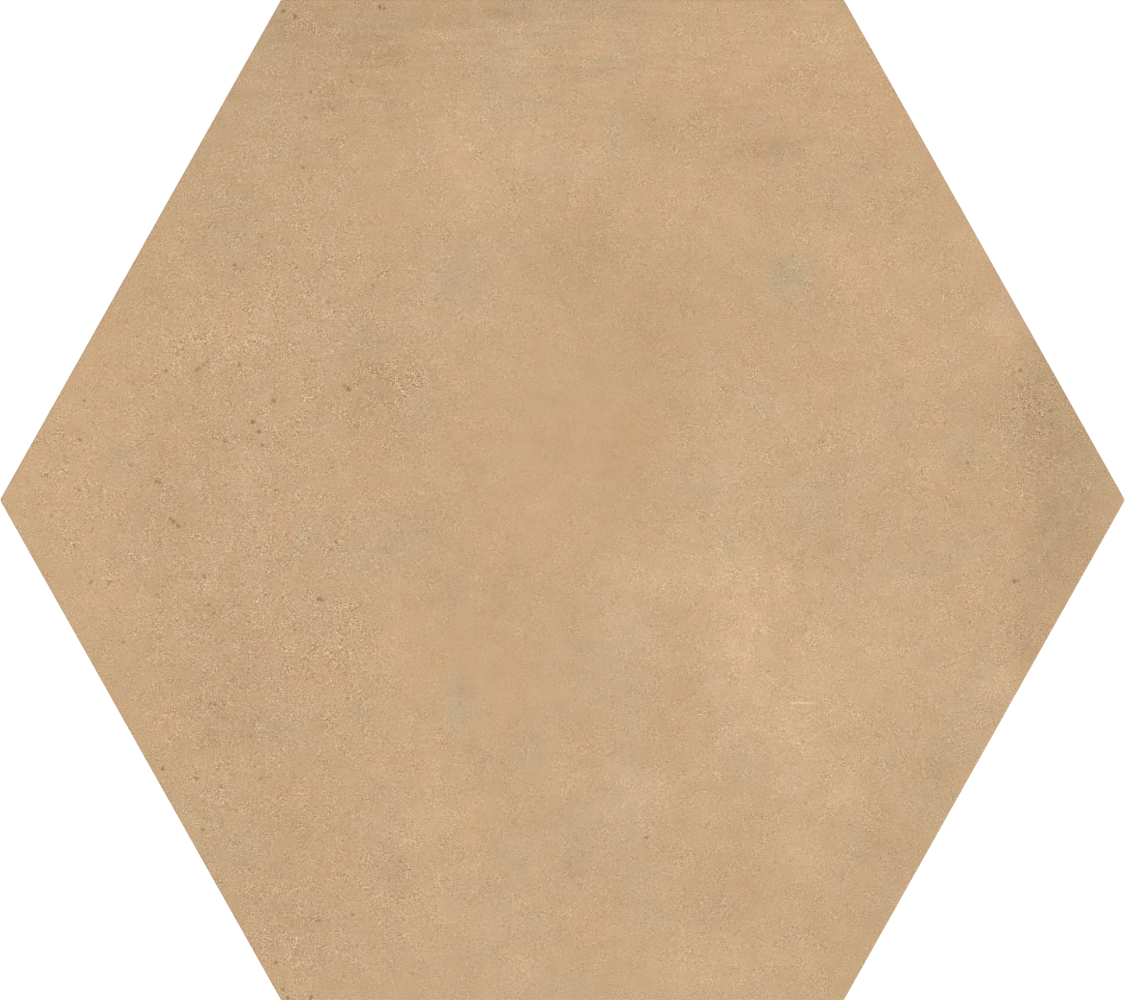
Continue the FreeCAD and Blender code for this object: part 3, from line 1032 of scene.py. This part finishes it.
specks = use_group(tree, speck_group, Place=place, Spacing=1.5, Radius=0.38, Share=0.15)["Mask"]
specks = calc(tree, "MULTIPLY", specks, ramp(tree, laid_coarseness, *SPECKED_GRAIN))
face_marks = calc(tree, "MULTIPLY_ADD", specks, SOWN_SPECK_DARKENING, face_marks)

crumbs = use_group(
    tree, speck_group, Place=layer_of(tree, place, layer=13), Spacing=1.0, Radius=0.34, Share=0.2
)["Mask"]
crumbs = calc(tree, "MULTIPLY", crumbs, ramp(tree, laid_lightness, *CRUMBED_LIGHTNESS))
face_marks = calc(tree, "MULTIPLY_ADD", crumbs, CRUMB_LIGHTENING, face_marks)

for centre, half_length, half_width, lightening in SCUFFS:
    scuff = scuff_mask(tree, flat_place, centre, half_length, half_width)
    face_marks = calc(tree, "MULTIPLY_ADD", scuff, lightening, face_marks)

# %% Ragged clouds and streaks
CLOUD_RAGGEDNESS = 2.4
STREAK_STRETCH = (0.12, 1, 1)
STREAK_STRENGTH = 16.0
STREAKED_SIDE = (60.0, 120.0)

broken = noise_at(tree, place, size=3.2, layer=83, detail=4, roughness=0.65)["Fac"]
broken = calc(tree, "ADD", 1.0, about_zero(tree, broken, CLOUD_RAGGEDNESS))
clouds = calc(tree, "MULTIPLY", laid_lightness, broken)

long_place = vector_calc(tree, "MULTIPLY", place, STREAK_STRETCH)
streaks = about_zero(tree, noise_at(tree, long_place, size=1.5, layer=5, detail=2)["Fac"], STREAK_STRENGTH)
streaks = calc(tree, "MULTIPLY", streaks, ramp(tree, coordinate(tree, place, "Y"), *STREAKED_SIDE))

# %% Mix the face's colour
GLAZE_LINE = 7.4
GLAZE_RAGGEDNESS = 1.4
GLAZE_SOFTNESS = 0.15

face_colour = use_group(
    tree, paint_group, Base=FACE_COLOUR,
    Lightness=add(tree, clouds, streaks, face_mottle["Lightness"], face_marks),
    Warmth=add(tree, laid_warmth, face_mottle["Warmth"]),
    Pinkness=add(tree, laid_pinkness, face_mottle["Pinkness"]),
    Grain=face_grain,
)["Colour"]

runs = about_zero(tree, noise_at(tree, place, size=2.2, layer=91, detail=2)["Fac"], GLAZE_RAGGEDNESS)
ragged_height = add(tree, runs, coordinate(tree, place, "Z"))
glazed = ramp(tree, ragged_height, GLAZE_LINE - GLAZE_SOFTNESS, GLAZE_LINE + GLAZE_SOFTNESS)
bare = use_group(tree, clay_group, Place=place)
feed(tree, shader.inputs["Base Color"], blend(tree, "RGBA", glazed, bare["Colour"], face_colour))

# %% Face roughness and bump
BARE_ROUGHNESS = 0.82
SMOOTHEST_GLAZE = 0.52
ROUGHER_WITH_GRAIN = 0.09
FACE_BUMP = 0.00000004

glaze_roughness = calc(tree, "MULTIPLY_ADD", laid_coarseness, ROUGHER_WITH_GRAIN, SMOOTHEST_GLAZE)
feed(tree, shader.inputs["Roughness"], blend(tree, "FLOAT", glazed, BARE_ROUGHNESS, glaze_roughness))
add_bump(tree, shader, face_grain, FACE_BUMP)
print("the printed face has", len(tree.nodes), "nodes beside its groups")

# %% [markdown]
# ## The back
#
# The back is bare body too, but it has been through the kiln on rollers. A thin white wash keeps it from
# sticking to them. It is rubbed onto the ribs and the rim and misses the pockets, which stay the plain
# colour of the clay.

# %% Ribbed back
BACK_GLOSS = 0.3
WASH_COLOUR = (0.72, 0.68, 0.61, 1)
WASH_REACH = (0.02, 0.12)
WASH_WEAR = (0.36, 0.62)
WASH_MOST = 0.62
ROUGHER_WITH_WASH = 0.12
BACK_BUMP = 0.0000007

back_material, tree, shader, place = new_material("fired_back", BACK_GLOSS)
clay = use_group(tree, clay_group, Place=place)
on_ribs = fade(tree, coordinate(tree, place, "Z"), *WASH_REACH)
rubbed = noise_at(tree, place, size=7.0, layer=53, detail=4, roughness=0.65)["Fac"]
wash = calc(tree, "MULTIPLY", on_ribs, ramp(tree, rubbed, *WASH_WEAR))
wash = calc(tree, "MULTIPLY", wash, WASH_MOST)
feed(tree, shader.inputs["Base Color"], blend(tree, "RGBA", wash, clay["Colour"], WASH_COLOUR))
feed(tree, shader.inputs["Roughness"], calc(tree, "MULTIPLY_ADD", wash, ROUGHER_WITH_WASH, BARE_ROUGHNESS))
add_bump(tree, shader, clay["Grain"], BACK_BUMP)

# %% Give the faces their finish
tile.data.materials.append(face_material)
tile.data.materials.append(back_material)
for face in tile.data.polygons:
    face.material_index = 1 if face.center.z < LAND_BOTTOM else 0
backs = sum(face.material_index for face in tile.data.polygons)
print(len(tile.data.polygons) - backs, "faces are printed or glazed,", backs, "are bare")

# %% [markdown]
# ## The floor
#
# The tile lies on plain white. To the camera the floor is mostly a flat white glow, so that it reads as the
# white of a page, and for the rest it is a real matt white that takes the tile's soft shadow. It is
# see-through from below, and it doesn't shade the underside, so that the ribs can be looked at too.

# %% Lay the floor
FLOOR_SIZE = 6.0
FLOOR_GAP = 0.2 * MM
PAGE_WHITE = (0.9, 0.9, 0.9, 1)
GLOW_SHARE = 0.85
GLOW = 1.1

bpy.ops.object.select_all(action="DESELECT")
bpy.ops.mesh.primitive_plane_add(size=FLOOR_SIZE, location=(0, 0, -FLOOR_GAP))
floor = bpy.context.object
floor.name = "floor"
bpy.ops.object.transform_apply(location=True, rotation=False, scale=False)
floor.visible_diffuse = False
floor.visible_shadow = False

floor_material = bpy.data.materials.new("white_page")
floor_material.use_nodes = True
tree = floor_material.node_tree
tree.nodes.remove(tree.nodes["Principled BSDF"])


def mix_shader(tree, share, first, second):
    """A blend of two shaders."""
    node = put(tree, "MixShader")
    feed(tree, node.inputs[0], share)
    feed(tree, node.inputs[1], first)
    feed(tree, node.inputs[2], second)
    return node.outputs["Shader"]


def seen_directly(tree):
    """1 for rays from the camera and for those that a gloss or a glass sends on."""
    path = put(tree, "LightPath")
    mirrored = calc(tree, "MAXIMUM", path.outputs["Is Glossy Ray"], path.outputs["Is Transmission Ray"])
    return calc(tree, "MAXIMUM", path.outputs["Is Camera Ray"], mirrored)


glow = put(tree, "Emission")
glow.inputs["Strength"].default_value = GLOW
matt = put(tree, "BsdfDiffuse")
matt.inputs["Color"].default_value = PAGE_WHITE
share = calc(tree, "MULTIPLY", seen_directly(tree), GLOW_SHARE)
page = mix_shader(tree, share, matt.outputs["BSDF"], glow.outputs["Emission"])
from_below = put(tree, "NewGeometry").outputs["Backfacing"]
clear = put(tree, "BsdfTransparent").outputs["BSDF"]
page = mix_shader(tree, from_below, page, clear)
feed(tree, tree.nodes["Material Output"].inputs["Surface"], page)
floor.data.materials.append(floor_material)

# %% [markdown]
# ## Light and camera
#
# Studio light for a catalogue is soft and plain. A pale sky lights the tile from all round, and one wide
# lamp adds a little direction, so that the arris and the relief can be read. Together they are as bright as
# one unit of light on the face, at which a colour renders about as it is written. A second lamp from below
# is there for looks at the back.

# %% Light the room
SKY_LIGHT = 0.65
LAMP_LIGHT = 0.35
LAMP_TILT = math.radians(35)
LAMP_TURN = math.radians(35)
LAMP_WIDTH = math.radians(40)
LOWER_LAMP_LIGHT = 0.3

world = bpy.data.worlds.new("studio")
bpy.context.scene.world = world
world.use_nodes = True
tree = world.node_tree
tree.nodes.remove(tree.nodes["Background"])


def sky(tree, strength):
    node = put(tree, "Background")
    node.inputs["Color"].default_value = (1, 1, 1, 1)
    node.inputs["Strength"].default_value = strength
    return node.outputs["Background"]


surround = mix_shader(tree, seen_directly(tree), sky(tree, SKY_LIGHT), sky(tree, 1.0))
feed(tree, tree.nodes["World Output"].inputs["Surface"], surround)


def add_lamp(name, light, tilt, turn):
    """A wide sun that adds a given light to a face turned straight up, or down for a lamp from below."""
    bpy.ops.object.light_add(type="SUN", rotation=(tilt, 0, turn))
    lamp = bpy.context.object
    lamp.name = name
    lamp.data.angle = LAMP_WIDTH
    lamp.data.energy = light * math.pi / abs(math.cos(tilt))


add_lamp("key_lamp", LAMP_LIGHT, LAMP_TILT, LAMP_TURN)
add_lamp("lower_lamp", LOWER_LAMP_LIGHT, math.radians(180) - LAMP_TILT, LAMP_TURN)

# %% [markdown]
# The picture is taken from straight above, with the tile filling the frame from tip to tip. A long lens from
# far away keeps the walls out of sight.

# %% Set the camera
LENS = 135.0
SENSOR = 36.0

frame_width = ACROSS_POINTS
widest_at = thickness - ARRIS_RADIUS
camera_height = widest_at + frame_width * LENS / SENSOR
bpy.ops.object.camera_add(location=(0, 0, camera_height), rotation=(0, 0, 0))
camera = bpy.context.object
camera.data.lens = LENS
camera.data.sensor_width = SENSOR
bpy.context.scene.camera = camera
bpy.context.scene.view_settings.view_transform = "Standard"
print(f"the camera hangs {camera_height:.3f} m above the floor")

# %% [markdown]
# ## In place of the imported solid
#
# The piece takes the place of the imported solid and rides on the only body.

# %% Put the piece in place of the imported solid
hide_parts(NODE)
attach(tile, "root")
